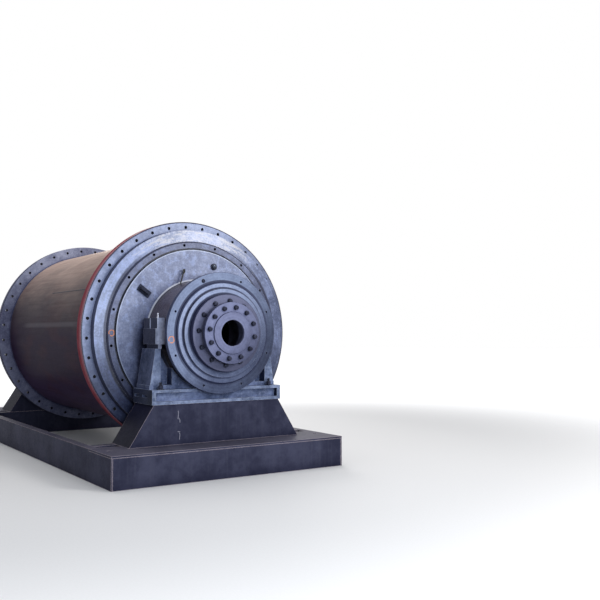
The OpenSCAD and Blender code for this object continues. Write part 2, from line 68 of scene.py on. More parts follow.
import bpy
import numpy as np
from bpy.props import FloatProperty, FloatVectorProperty, IntProperty, PointerProperty

for stray in list(bpy.data.objects):
    bpy.data.objects.remove(stray, do_unlink=True)
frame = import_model()

ENDS = {"near": 1.0, "far": -1.0}
AXIS = frame["joints"][0]["pos_m"][2]
LOW, HIGH = 0, 1

# Sizes of the CAD pieces that their boxes don't give
HEAD_RING = 0.101  # width of the ring of joint bolts on a head
BAND_OUT = 0.025  # how far a trunnion's bolt band stands out of the head
MIDDLE_OUT = 0.040  # how far its flat middle face stands out of the head
GROOVE = 0.082  # from a trunnion's rim in to the groove inside its bolt band
JOURNAL = 0.552  # radius of a journal
COLLAR_EDGE = 0.051  # from a collar's rim in to its screws
BASE_FLANGE = 0.058  # thickness of a spool's base flange
BASE_EDGE = 0.066  # from the base flange's rim in to its bolts
FEED_FLANGE = 0.018  # thickness of a feed flange, and of the spool's flange behind it
FEED_EDGE = 0.053  # from a feed flange's rim in to its bolts
COLUMN = 0.115  # width of a housing's column at its foot
HOUSING_FOOT = 0.040  # thickness of a housing's foot

WASHER = 1.3  # a washer's diameter over its bolt's width across flats


def reach(node, axis=0, side=HIGH):
    """Lowest or highest coordinate of a CAD node along one axis."""
    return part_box(node)[side][axis]


def radius_of(node):
    """Radius of a round node on the drum's axis, from the width of its box."""
    return (reach(node, 1) - reach(node, 1, LOW)) / 2


# Shapes


def angles(count):
    """Evenly spaced angles of a full turn."""
    return 2 * np.pi * np.arange(count) / count


def loft(rings, closed=False):
    """Skin over rings of points, an array of shape (rings, points, 3).

    Each ring runs counterclockwise seen from the next one. Neighbouring rings are joined by
    triangles. The last ring joins the first if closed, and otherwise the middle of each end ring
    becomes a pole that closes that end.
    """
    count, around = rings.shape[:2]
    here = np.arange(around)
    beside = (here + 1) % around
    row = np.arange(count if closed else count - 1)[:, None] * around
    above = (row + around) % (count * around)
    a, b = (row + here).ravel(), (row + beside).ravel()
    c, d = (above + beside).ravel(), (above + here).ravel()
    faces = [np.stack([a, b, c], 1), np.stack([a, c, d], 1)]
    points = rings.reshape(-1, 3)
    if not closed:
        pole, last = count * around, (count - 1) * around
        points = np.vstack([points, rings[0].mean(0), rings[-1].mean(0)])
        faces.append(np.stack([np.full(around, pole), beside, here], 1))
        faces.append(np.stack([np.full(around, pole + 1), last + here, last + beside], 1))
    return points, np.vstack(faces)


def turned(rings, around=36):
    """Solid turned about +Z through rings, each of a radius and a height.

    A radius may also be an array of one radius for each angle 2 pi j / around.
    """
    angle = angles(around)
    spread = np.stack([np.broadcast_to(radius, around) for radius, _ in rings])
    height = np.broadcast_to([[float(height)] for _, height in rings], spread.shape)
    return loft(np.stack([spread * np.cos(angle), spread * np.sin(angle), height], -1))


def swept(path, ups, width, height, closed=False, sides=6):
    """Oval bead along a path: ring i is path[i] + side w cos a + up h sin a.

    The side is up x tangent. Up is one direction or one a ring, and so are the half sizes w and h.
    """
    if closed:
        tangent = np.roll(path, -1, 0) - np.roll(path, 1, 0)
    else:
        tangent = np.gradient(path, axis=0)
    tangent /= np.linalg.norm(tangent, axis=1, keepdims=True)
    side = np.cross(ups, tangent)
    side /= np.linalg.norm(side, axis=1, keepdims=True)
    up = np.cross(tangent, side)
    angle = angles(sides)
    wide = np.broadcast_to(width, len(path))[:, None, None] * np.cos(angle)[None, :, None]
    tall = np.broadcast_to(height, len(path))[:, None, None] * np.sin(angle)[None, :, None]
    return loft(path[:, None] + side[:, None] * wide + up[:, None] * tall, closed)


def bead(path, ups, size, ripple, closed=False):
    """Weld bead along a path: an oval that swells once every ripple length, with a slow drift."""
    step = np.linalg.norm(np.diff(path, axis=0), axis=1)
    along = np.concatenate([[0], np.cumsum(step)])
    swell = 1 + 0.16 * np.abs(np.sin(np.pi * along / ripple)) + 0.05 * np.sin(along * 37.0)
    return swept(path, ups, size * swell, size * 0.7 * swell, closed)


def line(start, end, spacing):
    """Points on a straight line, about a spacing apart."""
    start, end = np.asarray(start, float), np.asarray(end, float)
    count = max(int(np.linalg.norm(end - start) / spacing), 1) + 1
    return start + (end - start) * np.linspace(0, 1, count)[:, None]


def hexagon(width, around):
    """Radius of a hexagon of a width across flats, at each angle round it."""
    third = np.pi / 3
    return width / 2 / np.cos((angles(around) + third / 2) % third - third / 2)


def hex_rings(width, foot, top, around):
    """Rings of a hexagon head with its corners turned off at the top."""
    flats, face = hexagon(width, around), width * 0.475
    corner = width / 2 / math.cos(math.pi / 6)
    fall = (corner - face) * 0.6
    rings = [(flats, foot)]
    for share in np.linspace(0, 1, 4):
        cut = np.minimum(flats, corner + (face - corner) * share)
        rings.append((cut, top - fall * (1 - share)))
    return rings


def thread_rings(diameter, foot, top, pitch, around):
    """Rings of a threaded end, whose radius falls and rises along a helix of a pitch."""
    steps = max(int((top - foot) / pitch * 6), 6)
    heights = np.linspace(foot, top, steps)
    angle = np.arange(around) / around
    phase = (heights[:, None] / pitch - angle[None, :]) % 1
    depth = pitch * 0.45 * (1 - np.abs(2 * phase - 1))
    radii = diameter / 2 - depth
    radii[-1] = diameter / 2 - pitch * 0.8
    return list(zip(radii, heights))


def bolt(width, height, washer=0.0, stud=0.0, around=36):
    """Hexagon head or nut, on a washer of a diameter, with a threaded stud of a length past it."""
    thick, rim, rings = 0.0, washer / 2, []
    if washer:
        thick = 0.14 * height
        rings = [(rim, 0.0), (rim, thick * 0.75), (rim - thick / 4, thick)]
    top, shank = thick + height, width * 0.6
    rings += hex_rings(width, thick, top, around)
    if stud:
        rings += thread_rings(shank, top, top + stud, shank * 0.11, around)
    return turned(rings, around)


def copies(shape, origins, xs, zs):
    """One shape at many places: each point becomes origin + x X + y Y + z Z, with Y = Z x X."""
    points, faces = shape
    xs, zs = np.broadcast_to(xs, origins.shape), np.broadcast_to(zs, origins.shape)
    placed = origins[:, None] + points @ np.stack([xs, np.cross(zs, xs), zs], 1)
    shift = np.arange(len(origins))[:, None, None] * len(points)
    return placed.reshape(-1, 3), (faces[None] + shift).reshape(-1, 3)


def on_face(end, turns, radius, out):
    """Places on a face across the drum's axis, with their radial and outward directions."""
    turns = np.radians(np.atleast_1d(turns).astype(float))
    radial = np.stack([np.zeros_like(turns), np.sin(turns), np.cos(turns)], 1)
    outward = np.tile([ENDS[end], 0.0, 0.0], (len(turns), 1))
    return np.array([ENDS[end] * out, 0, AXIS]) + radius * radial, radial, outward


def spaced(count, first):
    """Turns of evenly spaced places on a circle."""
    return first + 360 * np.arange(count) / count


def in_scene(name, data):
    """New object of a mesh, lamp or camera, linked to the scene."""
    made = bpy.data.objects.new(name, data)
    bpy.context.scene.collection.objects.link(made)
    return made


def make_piece(name, shapes, material, body, sharp=32):
    """One object from shapes of points and triangles; edges over an angle in degrees stay sharp."""
    starts = np.cumsum([0] + [len(points) for points, _ in shapes])
    points = np.vstack([points for points, _ in shapes])
    faces = np.vstack([faces + start for (_, faces), start in zip(shapes, starts)])
    mesh = bpy.data.meshes.new(name)
    mesh.vertices.add(len(points))
    mesh.vertices.foreach_set("co", points.astype(np.float32).ravel())
    mesh.loops.add(faces.size)
    mesh.loops.foreach_set("vertex_index", faces.astype(np.int32).ravel())
    mesh.polygons.add(len(faces))
    mesh.polygons.foreach_set("loop_start", np.arange(0, faces.size, 3, dtype=np.int32))
    mesh.update(calc_edges=True)
    mesh.validate()
    mesh.shade_smooth()
    mesh.set_sharp_from_angle(angle=math.radians(sharp))
    mesh.materials.append(MATERIALS[material])
    piece = in_scene(name, mesh)
    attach(piece, body)


# Shader nodes


class Graph:
    """Short calls that add nodes to a shader tree and join them."""

    def __init__(self, tree):
        self.tree = tree

    def node(self, kind, inputs=None, **settings):
        made = self.tree.nodes.new("ShaderNode" + kind)
        for key, value in settings.items():
            setattr(made, key, value)
        for key, value in (inputs or {}).items():
            self.feed(made.inputs[key], value)
        return made

    def feed(self, socket, value):
        """Join a value to a socket, or set the socket to it, with an alpha of one for a colour."""
        if isinstance(value, bpy.types.NodeSocket):
            self.tree.links.new(value, socket)
        else:
            socket.default_value = (*value, 1.0) if socket.type == "RGBA" else value

    def noise(self, vector, scale, detail, rough, stretch=None):
        """Noise on a vector, each of whose axes is first multiplied by its part of the stretch."""
        if stretch:
            vector = self.vectors("MULTIPLY", vector, stretch)[0]
        values = {"Vector": vector, "Scale": scale, "Detail": detail, "Roughness": rough}
        return self.node("TexNoise", values).outputs[0]

    def vectors(self, operation, *values):
        """Outputs of a sum on vectors, of which a length or a dot product is called Value."""
        made = self.node("VectorMath", dict(enumerate(values)), operation=operation)
        return made.outputs

    def ramp(self, value, low, high, start=0.0, end=1.0):
        """Smooth step of a value between two limits."""
        values = {"Value": value, "From Min": low, "From Max": high, "To Min": start, "To Max": end}
        return self.node("MapRange", values, interpolation_type="SMOOTHSTEP").outputs[0]

    def math(self, operation, a, b=0.0):
        return self.node("Math", {0: a, 1: b}, operation=operation).outputs[0]

    def times(self, value, *others):
        """Product of values, which for masks is where all of them are."""
        for other in others:
            value = self.math("MULTIPLY", value, other)
        return value

    def rest(self, value):
        """What a mask leaves of one."""
        return self.math("SUBTRACT", 1.0, value)

    def sum(self, *terms):
        """Sum of values, each with its weight."""
        total, *others = (self.times(value, weight) for value, weight in terms)
        for part in others:
            total = self.math("ADD", total, part)
        return total

    def band(self, value, middle, half, soft=0.0015):
        """One within a half width of the middle value, and nought beyond it."""
        away = self.math("ABSOLUTE", self.math("SUBTRACT", value, middle))
        return self.ramp(away, half, half + soft, 1.0, 0.0)

    def mix(self, share, a, b, **settings):
        made = self.node("Mix", {0: share, 6: a, 7: b}, data_type="RGBA", **settings)
        return made.outputs[2]

    def split(self, vector):
        return self.node("SeparateXYZ", {0: vector}).outputs

    def joined(self, x=0.0, y=0.0, z=0.0):
        return self.node("CombineXYZ", {0: x, 1: y, 2: z}).outputs[0]

    def about_axis(self, place):
        """The parts of a place, its distance from the drum's axis, and its direction from there."""
        parts = self.split(place)
        across = self.joined(y=parts[1], z=parts[2])
        radius = self.vectors("LENGTH", across)["Value"]
        return parts, radius, self.vectors("NORMALIZE", across)[0]


def shaded(colour, factor):
    """A colour made darker or lighter by a factor."""
    return tuple(factor * part for part in colour)


def make_group(fill, inputs):
    """Shader node group named for the function that fills it."""
    name = fill.__name__.replace("_", " ").capitalize()
    tree = bpy.data.node_groups.new(name, "ShaderNodeTree")
    for label in inputs:
        kind = "NodeSocketVector" if label == "Place" else "NodeSocketFloat"
        tree.interface.new_socket(label, in_out="INPUT", socket_type=kind)
    made = fill(Graph(tree), tree.nodes.new("NodeGroupInput").outputs)
    for label in made:
        tree.interface.new_socket(label, in_out="OUTPUT", socket_type="NodeSocketFloat")
    result = tree.nodes.new("NodeGroupOutput")
    for label, value in made.items():
        tree.links.new(value, result.inputs[label])
    return tree


def cast_surface(graph, given):
    """Painted casting: broad clouds, blotches, small dents, and a fine sand grain for the bump."""
    size = {0: given["Place"], 3: given["Size"]}
    scaled = graph.node("VectorMath", size, operation="SCALE").outputs[0]
    broad = graph.noise(scaled, 2.6, 5.0, 0.62)
    smears = graph.noise(scaled, 9.0, 4.0, 0.7)
    blotches = graph.noise(scaled, 46.0, 4.0, 0.68)
    grain = graph.noise(scaled, 95.0, 3.0, 0.6)
    dents = graph.ramp(graph.noise(scaled, 26.0, 2.0, 0.5), 0.30, 0.44)
    return {
        "Clouds": graph.ramp(graph.sum((broad, 0.65), (smears, 0.35)), 0.36, 0.66),
        "Mottle": graph.ramp(graph.sum((blotches, 0.6), (smears, 0.4)), 0.40, 0.64),
        "Grain": grain,
        "Height": graph.sum((grain, 0.5), (dents, 0.5)),
    }


def drum_place(graph, given):
    """Distance from the drum's axis and along it, the near end, the bore, and the upper left."""
    parts, radius, radial = graph.about_axis(given["Place"])
    normal = graph.node("TexCoord").outputs["Normal"]
    outward = graph.vectors("DOT_PRODUCT", normal, radial)["Value"]
    return {
        "Radius": radius,
        "Out": graph.math("ABSOLUTE", parts[0]),
        "Near": graph.ramp(parts[0], -0.1, 0.1),
        "Inward": graph.ramp(outward, -0.3, -0.7),
        # Side is one towards the upper left, the side on which painted light is laid
        "Side": graph.ramp(graph.sum((parts[1], -0.45), (parts[2], 0.65)), -0.35, 0.50),
    }


def facing(graph, given):
    """How squarely a surface faces along the drum's axis, and how far upward it faces, -1 to 1."""
    parts = graph.split(graph.node("TexCoord").outputs["Normal"])
    return {"Across": graph.ramp(graph.math("ABSOLUTE", parts[0]), 0.72, 0.9), "Up": parts[2]}


def turned_rings(graph, given):
    """Lathe marks: fine rings round the drum's axis, with a slow change of tone between them."""
    section = graph.joined(given["Radius"], given["Out"])
    slow = graph.noise(section, 1.0, 3.0, 0.6, (34.0, 20.0, 1.0))
    return {
        "Height": graph.noise(section, 1.0, 2.0, 0.6, (420.0, 260.0, 1.0)),
        "Bands": graph.ramp(slow, 0.35, 0.65),
    }


def swept_streaks(graph, given):
    """Smears along the circumference: noise that changes fast with the radius, slowly round it."""
    _, radius, radial = graph.about_axis(given["Place"])
    where = graph.joined(graph.times(radius, 46.0), *graph.split(radial)[1:])
    streaks = graph.noise(where, 1.0, 4.0, 0.62, (1.0, 7.0, 7.0))
    return {"Streaks": graph.ramp(streaks, 0.42, 0.66)}


def edge_wear(graph, given):
    """Edges, where the surface turns within a small width, and worn ones, broken up by noise. Pale
    colour laid there is worn paint and painted edge highlight at once.
    """
    rounded = graph.node("Bevel", {"Radius": given["Width"]}, samples=6).outputs[0]
    normal = graph.node("NewGeometry").outputs["Normal"]
    same = graph.vectors("DOT_PRODUCT", rounded, normal)["Value"]
    edge = graph.ramp(graph.rest(same), 0.02, 0.16)
    patchy = graph.ramp(graph.noise(given["Place"], 17.0, 4.0, 0.7), 0.3, 0.62)
    return {"Edge": edge, "Worn": graph.times(edge, patchy)}


def settled_dust(graph, given):
    """Mask of dust on faces that look upward, thicker in patches."""
    up = graph.ramp(graph.split(graph.node("NewGeometry").outputs["Normal"])[2], 0.55, 0.98)
    patchy = graph.ramp(graph.noise(given["Place"], 3.1, 5.0, 0.65), 0.25, 0.75, 0.35, 1.0)
    return {"Dust": graph.times(up, patchy)}


def run_streaks(graph, given):
    """Mask of narrow runs that follow the height, for dirt and thin paint on upright plates."""
    runs = graph.noise(given["Place"], 1.0, 4.0, 0.6, (26.0, 26.0, 1.3))
    return {"Runs": graph.ramp(runs, 0.5, 0.75)}


def near_corners(graph, given):
    """Mask of corners and joints, for the painted shade laid there, with the dirt and oil that
    gather there.
    """
    distance = {"Distance": given["Distance"]}
    open_sky = graph.node("AmbientOcclusion", distance, samples=6).outputs["AO"]
    return {"Corner": graph.ramp(open_sky, 0.35, 0.95, 1.0, 0.0)}


GROUPS = {}


def make_groups():
    """Build each effect once, from the function that fills it and the names of its inputs."""
    for key, fill, *inputs in (
        ("cast", cast_surface, "Place", "Size"),
        ("drum", drum_place, "Place"),
        ("facing", facing),
        ("rings", turned_rings, "Radius", "Out"),
        ("streaks", swept_streaks, "Place"),
        ("edges", edge_wear, "Place", "Width"),
        ("dust", settled_dust, "Place"),
        ("runs", run_streaks, "Place"),
        ("corners", near_corners, "Distance"),
    ):
        GROUPS[key] = make_group(fill, inputs)


class Finish:
    """One material under way: shader, graph, place about the drum's axis, masks, colour so far.

    Size multiplies the pattern of a painted casting, wear is the width of a pale edge, worn and
    painted highlight at once, and shade is how far painted shade and dirt reach out of a corner.
    The constants are set on the shader's own sockets.
    """

    def __init__(self, name, size, wear, shade, **constants):
        self.material = bpy.data.materials.new(name)
        self.material.use_nodes = True
        self.tree = self.material.node_tree
        self.shader = self.tree.nodes["Principled BSDF"]
        self.graph = Graph(self.tree)
        for label, value in constants.items():
            self.put(label.replace("_", " ").title().replace("Ior", "IOR"), value)
        here = self.graph.node("TexCoord").outputs["Object"]
        shift = {"Vector": here, "Location": (0.0, 0.0, -AXIS)}
        self.place = self.graph.node("Mapping", shift).outputs[0]
        self.cast = self.group("cast", Size=size)
        self.clouds = self.cast["Clouds"]
        self.edge, self.worn = self.group("edges", Width=wear)
        self.corner = self.group("corners", Distance=shade)["Corner"]
        self.colour = None

    def put(self, label, value):
        self.graph.feed(self.shader.inputs[label], value)

    def group(self, key, **inputs):
        made = self.tree.nodes.new("ShaderNodeGroup")
        made.node_tree = GROUPS[key]
        if "Place" in made.inputs:
            inputs["Place"] = self.place
        for label, value in inputs.items():
            self.graph.feed(made.inputs[label], value)
        return made.outputs

    def blend(self, clouds, mottle, *others):
        """Sum of the casting's clouds and mottle and of other values, each with its weight."""
        cast = (self.clouds, clouds), (self.cast["Mottle"], mottle)
        return self.graph.sum(*cast, *others)

    def tones(self, share, deep, light):
        """Start the colour as a mix of two tones."""
        self.colour = self.graph.mix(share, deep, light)

    def lay(self, colour, strength, *masks, **settings):
        """Lay a colour over what is there, where all the masks are."""
        share = self.graph.times(*masks, strength)
        self.colour = self.graph.mix(share, self.colour, colour, **settings)

    def tint(self, colour, strength, *masks):
        """Multiply what is there by a colour, where all the masks are."""
        self.lay(colour, strength, *masks, blend_type="MULTIPLY")

    def close(self, shine, spread, strength, distance, height=None, dull=None):
        """Join the colour, a roughness that follows the grain and rises where dull, and a bump."""
        rough = self.graph.ramp(self.cast["Grain"], 0.3, 0.7, shine, shine + spread)
        if dull is not None:
            rough = self.graph.math("MAXIMUM", rough, self.graph.times(dull, 0.75))
        bump = {"Height": height or self.cast["Height"], "Strength": strength, "Distance": distance}
        self.put("Base Color", self.colour)
        self.put("Roughness", rough)
        self.put("Normal", self.graph.node("Bump", bump).outputs[0])
        return self.material


WHITE, BLACK = (1.0, 1.0, 1.0), (0.0, 0.0, 0.0)
# Navy-black, laid as painted shade on walls, round the trunnions' feet and at steps
NAVY = (0.020, 0.024, 0.062)
# Pale blue of worn edges, which also stands for a painted highlight along them
WORN_AND_HIGHLIT_BLUE = (0.46, 0.50, 0.64)
BLUE = (0.62, 0.74, 1.0)  # tint of the light that a paint reflects
GLOSSY = {"coat_weight": 0.08, "coat_roughness": 0.18, "specular_ior_level": 0.28}
# Dark rings at the steps of the turned faces: painted shade, with some dirt
DIRT_AND_SHADE_RINGS = ((0.523, 0.009), (0.454, 0.006), (0.396, 0.008))  # radius and half width


def drum_dress(look, drum, bore=(0.060, 0.060, 0.095)):
    """Painted shade on the walls and in the corners, with some oil there, and a bore of its own
    colour. Gives the face and wall masks.
    """
    face = look.group("facing")["Across"]
    wall = look.graph.rest(face)
    # Navy-black on the walls and a dark tint in the corners: painted shade, with some oil in the
    # corners
    look.lay(NAVY, 0.86, wall)
    look.tint((0.13, 0.15, 0.33), 0.92, look.corner)
    look.lay(bore, 0.95, drum["Inward"])
    return face, wall


def primed_rim(look, drum, wall, rim):
    """Mask of the near end's outer rim of a radius, where the red primer shows."""
    edge = look.graph.ramp(drum["Radius"], rim - 0.003, rim - 0.001)
    return look.graph.times(edge, wall, drum["Near"])


def head_paint(deep, light, primer):
    """Glossy blue-black paint on the heads: lighter to the upper left as painted light, a pale cone
    of rubbed paint, chips and painted highlight, painted shade at the trunnion's foot, low down, to
    the right and on the walls, primer at the rim.
    """
    look = Finish("head_paint", 1.0, 0.005, 0.035, **GLOSSY)
    graph, drum = look.graph, look.group("drum")
    radius, side = drum["Radius"], drum["Side"]
    _, across, height = graph.split(look.place)
    # Tone from the casting's clouds and mottle, and lighter to the upper left: painted light
    look.tones(look.blend(0.34, 0.24, (side, 0.42)), deep, light)
    face, wall = drum_dress(look, drum)
    rim, seat = radius_of("near_head"), radius_of("near_trunnion")
    ring = rim - HEAD_RING
    cone = graph.times(graph.ramp(radius, ring + 0.003, ring - 0.003), face)
    high = graph.ramp(height, 0.55, 1.0)
    streaks = look.group("streaks")["Streaks"]
    # Pale blue on the cone, in smears and strongest to the upper left: rubbed paint and a painted
    # reflection of the light
    rubbed = look.blend(0.20, 0.25, (streaks, 0.30), (side, 0.25))
    look.lay((0.40, 0.50, 0.86), 0.45, cone, graph.ramp(rubbed, 0.30, 0.80))
    # Warm pale patches on the cone, most of them high up: chips in the paint and a painted
    # highlight at the top
    chips_and_top_highlight = graph.sum((high, 0.55), (streaks, 0.35), (look.cast["Mottle"], 0.25))
    look.lay((0.66, 0.60, 0.50), 0.5, cone, graph.ramp(chips_and_top_highlight, 0.60, 1.0))
    # Navy-black round the trunnion's foot, except high up: painted shade
    look.lay(NAVY, 0.92, graph.ramp(radius, seat + 0.036, seat + 0.018), graph.rest(high))
    # Darker towards the bottom, more so on the cone, and darker to the right: painted shade
    look.tint((0.20, 0.22, 0.30), 0.90, graph.ramp(height, 0.05, -0.70))
    look.tint((0.42, 0.45, 0.55), 0.8, cone, graph.ramp(height, 0.10, -0.50))
    look.tint((0.62, 0.62, 0.66), 0.7, graph.ramp(across, 0.35, 0.95))
    look.lay(primer, 1.0, primed_rim(look, drum, wall, rim))
    # A black line just inside the rim: a painted shadow line along the rim's edge
    look.lay((0.020, 0.010, 0.022), 0.9, graph.band(radius, rim - 0.006, 0.005), face)
    # Pale worn edges, which also stand for a painted highlight along the edges
    look.lay(WORN_AND_HIGHLIT_BLUE, 0.5, look.worn, face)
    return look.close(0.25, 0.14, 0.5, 0.0028, dull=wall)


def trunnion_paint(deep, light, oiled):
    """Glossy paint on the trunnions: lighter to the upper left as painted light, pale blue mottle
    there, oily journal, painted shade in the groove, round the journal's foot, low down and on the
    walls, and a painted highlight on the journal's rounded foot.
    """
    look = Finish("trunnion_paint", 1.15, 0.005, 0.13, **GLOSSY)
    graph, drum = look.graph, look.group("drum")
    radius, side, out = drum["Radius"], drum["Side"], drum["Out"]
    height = graph.split(look.place)[2]
    # Tone from the casting's clouds and mottle, and lighter to the upper left: painted light
    look.tones(look.blend(0.30, 0.32, (side, 0.38)), deep, light)
    # Pale blue mottle laid only on the upper left: mottled paint, shown only where painted light
    # falls
    frost = graph.ramp(graph.noise(look.place, 12.0, 6.0, 0.75), 0.50, 0.60)
    look.lay((0.43, 0.53, 0.86), 0.36, frost, side)
    face, wall = drum_dress(look, drum)
    groove = radius_of("near_trunnion") - GROOVE
    look.tint((0.55, 0.55, 0.60), 0.9, graph.ramp(radius, groove - 0.001, groove + 0.003))
    # Near-black in the groove: painted shade
    look.lay((0.006, 0.006, 0.014), 0.95, graph.band(radius, groove, 0.0085))
    # A pale line on the rounded rim inside the groove, on the upper left: a painted highlight
    look.lay((0.62, 0.68, 0.84), 0.55, graph.band(radius, groove - 0.016, 0.004), face, side)
    root = reach("near_head") + MIDDLE_OUT
    shank = graph.ramp(radius, JOURNAL + 0.008, JOURNAL + 0.004)
    journal = graph.times(shank, graph.ramp(out, root + 0.012, root + 0.024))
    look.lay(graph.mix(look.clouds, oiled, shaded(oiled, 1.9)), 1.0, journal)
    # Navy-black round the journal's foot low down, and a wider darkening there: painted shadow of
    # the journal and housing
    low = graph.ramp(height, 0.25, -0.15)
    foot = graph.ramp(radius, JOURNAL + 0.22, JOURNAL + 0.02)
    off_shank = graph.ramp(radius, JOURNAL + 0.006, JOURNAL + 0.014)
    look.tint((0.05, 0.055, 0.10), 0.92, foot, off_shank, low)
    look.tint((0.16, 0.18, 0.28), 0.75, graph.ramp(radius, JOURNAL + 0.25, JOURNAL + 0.08), low)
    # Darker towards the bottom and away from the upper left: painted shade
    look.tint((0.34, 0.37, 0.46), 0.8, graph.ramp(height, 0.20, -0.70))
    look.tint((0.60, 0.60, 0.64), 0.6, graph.ramp(side, 0.75, 0.25))
    # A pale band on the rounded foot of the journal: a painted highlight
    fillet_highlight = graph.band(radius, JOURNAL + 0.012, 0.006)
    look.lay((0.66, 0.68, 0.76), 0.75, fillet_highlight, graph.ramp(out, root + 0.026, root + 0.020))
    look.lay((0.26, 0.25, 0.36), 0.95, drum["Inward"])
    # Pale worn edges, which also stand for a painted highlight along the edges
    look.lay(WORN_AND_HIGHLIT_BLUE, 0.5, look.worn, face)
    return look.close(0.25, 0.16, 0.5, 0.0028, dull=graph.math("SUBTRACT", wall, journal))


def machined_paint(name, deep, light, shine):
    """Thin paint over turned faces: fine rings, soft bands, scuffs, lighter to the upper left as
    painted light, painted shade to the right, below and on the walls, dark rings of painted shade
    and some dirt at the steps, pale edges of wear and painted highlight.
    """
    look = Finish(name, 1.6, 0.004, 0.028, specular_ior_level=0.17)
    graph, drum = look.graph, look.group("drum")
    _, across, height = graph.split(look.place)
    side = graph.ramp(graph.sum((across, -0.55), (height, 0.80)), -0.55, 0.45)
    rings = look.group("rings", Radius=drum["Radius"], Out=drum["Out"])
    # Tone from clouds, mottle and the turned bands, and lighter to the upper left: painted light
    look.tones(look.blend(0.22, 0.18, (rings["Bands"], 0.15), (side, 0.45)), deep, light)
    scuffs = graph.ramp(graph.noise(look.place, 19.0, 6.0, 0.72), 0.52, 0.68)
    look.tint((0.40, 0.42, 0.52), 0.30, scuffs)
    # Darker away from the upper left and to the right: painted shade
    look.tint((0.34, 0.36, 0.42), 0.85, graph.ramp(side, 0.60, 0.0))
    look.tint((0.60, 0.60, 0.62), 0.7, graph.ramp(across, 0.05, 0.50))
    # Navy-black rings at the steps, strongest to the upper left: painted shade, with some dirt
    fading = graph.ramp(side, 0.0, 1.0, 0.25, 1.0)
    for middle, half in DIRT_AND_SHADE_RINGS:
        look.lay(NAVY, 0.9, graph.band(drum["Radius"], middle, half, 0.010), fading)
    face, wall = drum_dress(look, drum, (0.15, 0.16, 0.28))
    # Pale worn edges, which also stand for a painted highlight along the edges
    look.lay(WORN_AND_HIGHLIT_BLUE, 0.6, look.worn, face)
    bump = graph.sum((rings["Height"], 0.6), (look.cast["Height"], 0.4))
    return look.close(shine, 0.14, 0.35, 0.0014, bump, wall)


def shell_paint(low, middle, high):
    """Satin black-brown paint on rolled plate, darker below and lighter above as painted shade and
    light: maroon clouds, a tan haze high up of dust and painted reflection, long rubs, a pale
    painted reflection line.
    """
    look = Finish("shell_paint_satin", 1.0, 0.004, 0.05, specular_ior_level=0.02)
    graph, place = look.graph, look.place
    up = look.group("facing")["Up"]
    along, across, height = graph.split(place)
    # Tone from dark to lighter as the shell faces further up, with a slow drift: painted shade
    # below and light above
    drift = graph.noise(place, 1.0, 4.0, 0.6, (0.9, 2.6, 2.6))
    lift = graph.math("ADD", up, graph.times(graph.math("SUBTRACT", drift, 0.5), 0.6))
    look.tones(graph.ramp(lift, -0.16, 0.42), low, middle)
    # Purple-black where the shell faces down: a painted tone of its shaded underside
    look.lay((0.066, 0.042, 0.098), 0.8, graph.ramp(up, -0.35, -0.85))
    maroon = graph.noise(place, 1.4, 3.0, 0.6, (1.0, 2.6, 2.6))
    look.lay((0.070, 0.026, 0.036), 0.28, graph.ramp(maroon, 0.48, 0.64))
    # Tan in wiped patches where the shell faces up: dust and a painted reflection of light from
    # above
    slant = graph.joined(graph.sum((height, 6.5), (along, -2.0)), graph.times(along, 0.5))
    wipes = graph.ramp(graph.noise(slant, 1.0, 6.0, 0.68), 0.40, 0.66)
    look.lay(high, 1.0, graph.ramp(lift, 0.22, 1.0), graph.ramp(wipes, 0.0, 1.0, 0.80, 1.0))
    rubs = graph.noise(place, 1.0, 4.0, 0.65, (1.0, 26.0, 26.0))
    look.tint((0.66, 0.62, 0.64), 0.5, graph.ramp(rubs, 0.42, 0.68))
    # A pale line along the near side at one height: a painted reflection
    streak = graph.band(height, 0.093, 0.010, 0.030), graph.band(along, 0.15, 0.75, 0.45)
    look.lay((0.20, 0.19, 0.22), 0.34, *streak, graph.ramp(across, 0.0, -0.5))
    # Pale worn edges, which also stand for a painted highlight along the edges
    look.lay((0.35, 0.33, 0.36), 0.4, look.worn)
    waves = graph.noise(place, 1.0, 1.0, 0.4, (1.5, 4.0, 4.0))
    return look.close(0.40, 0.14, 0.22, 0.02, waves)


def flange_paint(deep, light, primer, faded):
    """Shell flanges: blue-black paint on the faces, painted shade on the far flange below its top
    and on the walls, worn red primer round the near end's rims.
    """
    look = Finish("flange_paint", 1.1, 0.004, 0.05, specular_ior_level=0.10)
    graph, drum = look.graph, look.group("drum")
    look.tones(look.blend(0.6, 0.4), deep, light)
    height = graph.split(look.place)[2]
    # The far flange darker below its top: painted shade
    look.tint((0.30, 0.27, 0.40), 0.42, graph.rest(drum["Near"]), graph.ramp(height, 0.95, 0.25))
    _, wall = drum_dress(look, drum)
    primed = primed_rim(look, drum, wall, radius_of("near_shell_flange"))
    look.lay(graph.mix(look.clouds, primer, faded), 1.0, primed)
    # Pale worn edges, which also stand for a painted highlight along the edges
    look.lay((0.40, 0.36, 0.44), 0.5, look.worn)
    return look.close(0.42, 0.16, 0.35, 0.002, dull=wall)


def sideways(look):
    """How squarely a surface looks across the drum, to either side."""
    across = look.graph.split(look.graph.node("TexCoord").outputs["Normal"])[1]
    return look.graph.ramp(look.graph.math("ABSOLUTE", across), 0.45, 0.8)


